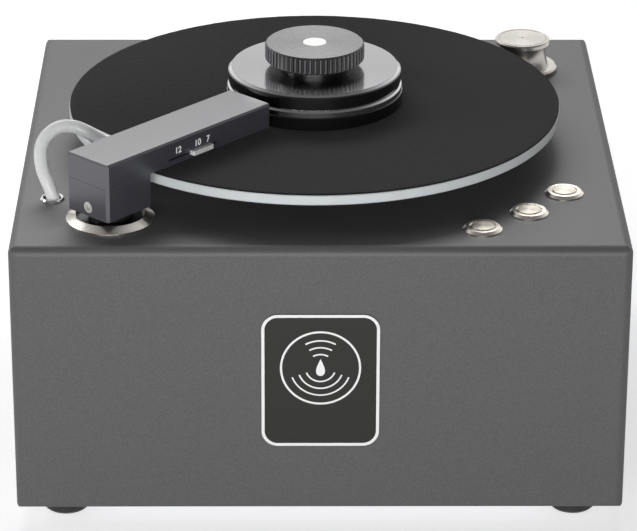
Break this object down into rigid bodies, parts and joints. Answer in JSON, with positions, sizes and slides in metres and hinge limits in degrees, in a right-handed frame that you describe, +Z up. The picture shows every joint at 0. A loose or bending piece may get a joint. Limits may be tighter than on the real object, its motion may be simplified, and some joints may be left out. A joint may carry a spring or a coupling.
{
  "type": "record cleaning machine",
  "caption": "Vacuum record cleaning machine: square sheet metal case, felt-topped platter with a screw-down clamp, swinging suction arm with a hose, push buttons and a rear service panel.",
  "frame": {"origin": "on the table, under the middle of the machine's outline from badge to drain spout", "axes": "+Z up, -Y to the front with the badge, +X to the right seen from the front"},
  "size_m": [0.35, 0.369, 0.236],
  "materials": {
    "case_paint": "dark grey satin powder coat with a fine texture",
    "zinc_sheet": "zinc plated sheet",
    "zinc_screws": "zinc plated steel",
    "foot_rubber": "moulded black rubber",
    "badge_dark": "charcoal screen print on a thin aluminium plate",
    "badge_print": "white screen print",
    "black_panel": "black powder coat",
    "black_mould": "black moulded plastic",
    "plated_pins": "nickel plated brass",
    "rocker_plastic": "black moulded plastic",
    "valve_brass": "turned brass",
    "tap_plastic": "red moulded plastic",
    "turned_alu": "turned aluminium",
    "bronze": "sintered bronze",
    "motor_steel": "zinc plated can",
    "ground_steel": "ground steel",
    "platter_acrylic": "satin white acrylic",
    "felt": "charcoal wool felt",
    "clamp_black": "black turned plastic",
    "clamp_disc": "black anodised, turned, with a bright turned band",
    "knob_metal": "dark anodised, fluted",
    "insert_steel": "polished",
    "brushed_ring": "turned and brushed stainless steel",
    "housing_black": "black anodised",
    "spring_steel": "wound spring wire",
    "hub_black": "black anodised post",
    "arm_anodised": "grey anodised, satin milled",
    "velvet": "black velvet strips",
    "slider_metal": "brushed",
    "barb_metal": "turned",
    "silicone": "milky translucent silicone",
    "grommet_chrome": "polished",
    "tank_plastic": "natural polyethylene",
    "lid_plastic": "moulded plastic",
    "float_plastic": "closed cell foam, skinned",
    "fan_plastic": "moulded plastic",
    "cradle_rubber": "rubber block",
    "supply_case": "folded aluminium case",
    "board_green": "circuit board with its parts",
    "wire_red": "insulated wire",
    "button_steel": "turned stainless steel",
    "button_cap": "polished stainless steel",
    "cap_steel": "turned and polished stainless steel"
  },
  "bodies": {
    "root": {"case_shell": "case_paint", "bottom_plate": "zinc_sheet", "screws": "zinc_screws", "feet": "foot_rubber", "badge_plate": "badge_dark", "badge_trim": "badge_print", "rear_panel": "black_panel", "inlet_module": "black_mould", "inlet_pins": "plated_pins", "drain_valve": "valve_brass", "bearing_housing": "turned_alu", "bearing_bush": "bronze", "motor_bracket": "zinc_sheet", "gear_motor": "motor_steel", "arm_flange": "brushed_ring", "arm_housing": "housing_black", "housing_cap": "housing_black", "arm_spring": "spring_steel", "suction_hose": "silicone", "grommet": "grommet_chrome", "waste_tank": "tank_plastic", "tank_lid": "lid_plastic", "inner_hoses": "silicone", "turbine_housing": "fan_plastic", "turbine_motor": "motor_steel", "turbine_cradle": "cradle_rubber", "power_supply": "supply_case", "control_board": "board_green", "wiring": "wire_red", "button_bezels": "button_steel", "button_nuts": "zinc_screws", "button_springs": "spring_steel", "port_flange": "brushed_ring"},
    "platter": {"motor_shaft": "ground_steel", "drive_coupling": "turned_alu", "platter_shaft": "ground_steel", "platter_hub": "turned_alu", "platter": "platter_acrylic", "mat": "felt", "spindle": "ground_steel"},
    "clamp": {"clamp_base": "clamp_black", "clamp_disc": "clamp_disc"},
    "knob": {"clamp_knob": "knob_metal", "knob_insert": "insert_steel"},
    "arm_lift": {"arm_sleeve": "hub_black"},
    "arm": {"arm_post": "hub_black", "arm_block": "arm_anodised", "arm_screw": "zinc_screws", "arm_bar": "arm_anodised", "arm_pads": "velvet", "hose_barb": "barb_metal"},
    "slider": {"size_slider": "slider_metal"},
    "rotation_button": {"rotation_button": "button_cap"},
    "motor_button": {"motor_button": "button_cap"},
    "vacuum_button": {"vacuum_button": "button_cap"},
    "power_rocker": {"switch_rocker": "rocker_plastic"},
    "drain_tap": {"drain_tap": "tap_plastic"},
    "impeller": {"impeller": "turned_alu"},
    "float": {"level_float": "float_plastic"},
    "port_cap": {"port_cap": "cap_steel"}
  },
  "joints": [
    {"name": "platter_spin", "type": "hinge", "parent": "root", "child": "platter", "pos_m": [-0.0024, -0.01613, 0.1996], "axis": [0, 0, 1], "continuous": true},
    {"name": "clamp_lift", "type": "slide", "parent": "platter", "child": "clamp", "axis": [0, 0, 1], "range_m": [0, 0.05]},
    {"name": "knob_turn", "type": "hinge", "parent": "clamp", "child": "knob", "pos_m": [-0.0024, -0.01613, 0.2296], "axis": [0, 0, 1], "continuous": true},
    {"name": "arm_drop", "type": "slide", "parent": "root", "child": "arm_lift", "axis": [0, 0, -1], "range_m": [0, 0.0014], "stiffness_N_per_m": 400, "springref_m": -0.02, "deforming": ["arm_spring"]},
    {"name": "arm_swing", "type": "hinge", "parent": "arm_lift", "child": "arm", "pos_m": [-0.11932, -0.14063, 0.1755], "axis": [0, 0, -1], "range_deg": [0, 85]},
    {"name": "size_slide", "type": "slide", "parent": "arm", "child": "slider", "axis": [0.6845, 0.729, 0], "range_m": [-0.018, 0.0065]},
    {"name": "rotation_button_press", "type": "slide", "parent": "root", "child": "rotation_button", "axis": [0, 0, -1], "range_m": [0, 0.0012], "stiffness_N_per_m": 300, "springref_m": -0.003, "deforming": ["button_springs"]},
    {"name": "motor_button_press", "type": "slide", "parent": "root", "child": "motor_button", "axis": [0, 0, -1], "range_m": [0, 0.0012], "stiffness_N_per_m": 300, "springref_m": -0.003, "deforming": ["button_springs"]},
    {"name": "vacuum_button_press", "type": "slide", "parent": "root", "child": "vacuum_button", "axis": [0, 0, -1], "range_m": [0, 0.0012], "stiffness_N_per_m": 300, "springref_m": -0.003, "deforming": ["button_springs"]},
    {"name": "power_rock", "type": "hinge", "parent": "root", "child": "power_rocker", "pos_m": [0.081, 0.15247, 0.074], "axis": [1, 0, 0], "range_deg": [0, 12]},
    {"name": "drain_turn", "type": "hinge", "parent": "root", "child": "drain_tap", "pos_m": [-0.14404, 0.16448, 0.0265], "axis": [0, 0, 1], "range_deg": [0, 90]},
    {"name": "impeller_spin", "type": "hinge", "parent": "root", "child": "impeller", "pos_m": [-0.10404, 0.0409, 0.1035], "axis": [0, 1, 0], "continuous": true},
    {"name": "float_rise", "type": "slide", "parent": "root", "child": "float", "axis": [0, 0, 1], "range_m": [0, 0.075]},
    {"name": "cap_lift", "type": "slide", "parent": "root", "child": "port_cap", "axis": [0, 0, 1], "range_m": [0, 0.03]}
  ]
}
